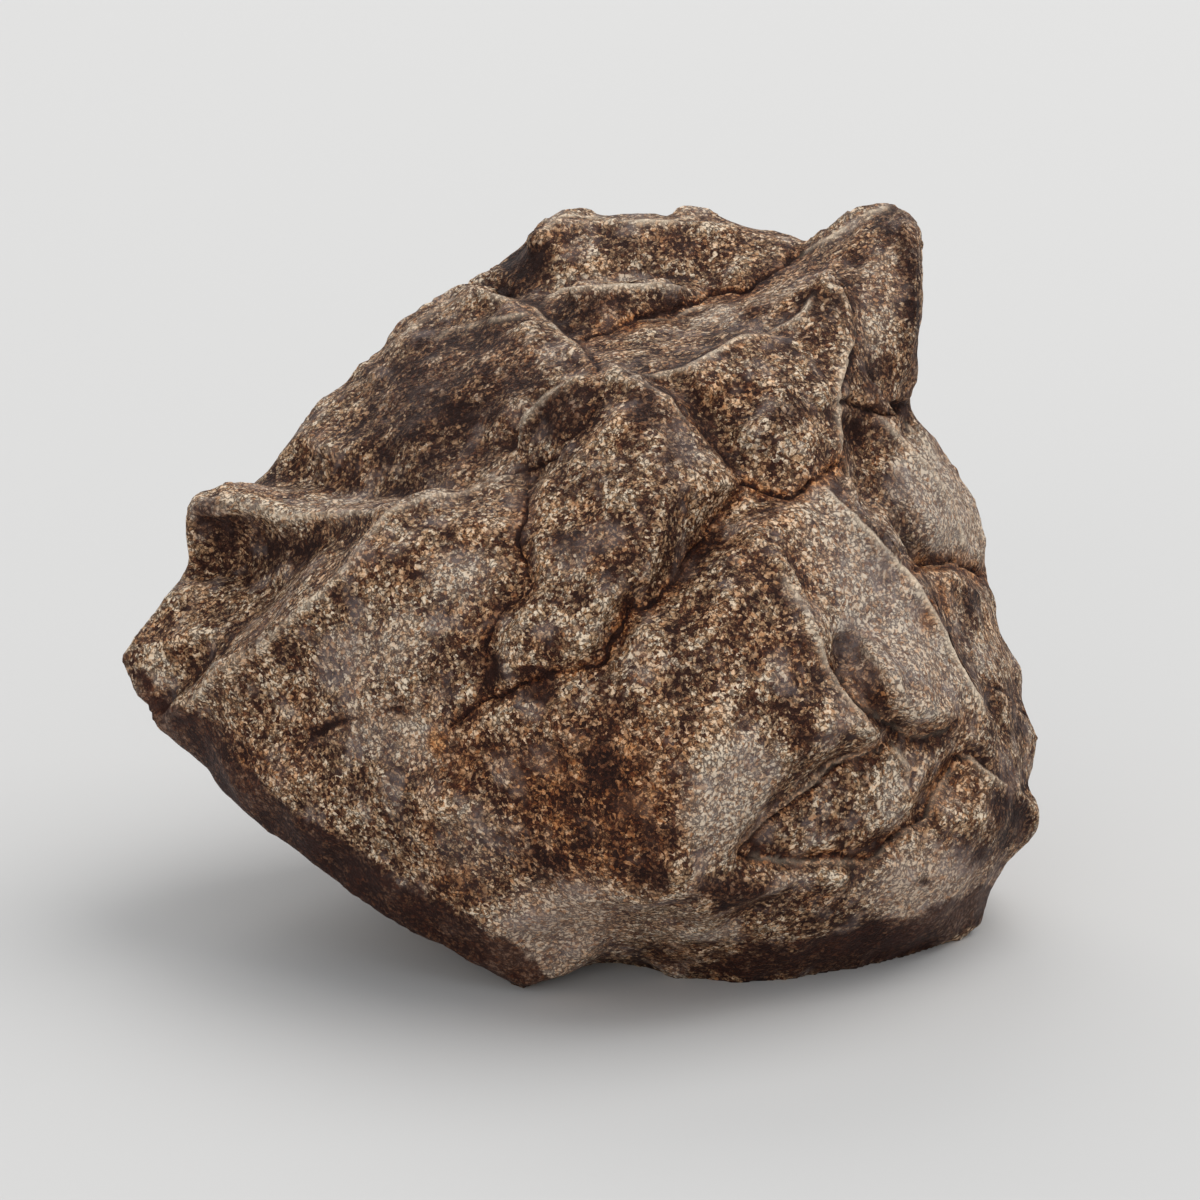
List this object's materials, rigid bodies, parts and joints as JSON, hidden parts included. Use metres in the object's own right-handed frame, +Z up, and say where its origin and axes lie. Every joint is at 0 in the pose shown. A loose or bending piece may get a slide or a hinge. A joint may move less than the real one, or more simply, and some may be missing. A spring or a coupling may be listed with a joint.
{
  "type": "meteorite",
  "caption": "Weathered stony meteorite: a dark brown angular stone with ledges, thumbprint hollows and rust-lined cracks, resting on a worn flat facet.",
  "frame": {"origin": "a point well inside the flat rest facet on the underside, on its plane", "axes": "+Z up; +X along the stone's longest side, towards the upright horn; the face with the cracked nose block looks along -Y"},
  "size_m": [0.0928, 0.0809, 0.0705],
  "materials": {
    "stone": "dull, grainy, weathered dark brown with rust in the cracks"
  },
  "bodies": {
    "root": {"meteorite_stone": "stone"}
  },
  "joints": []
}
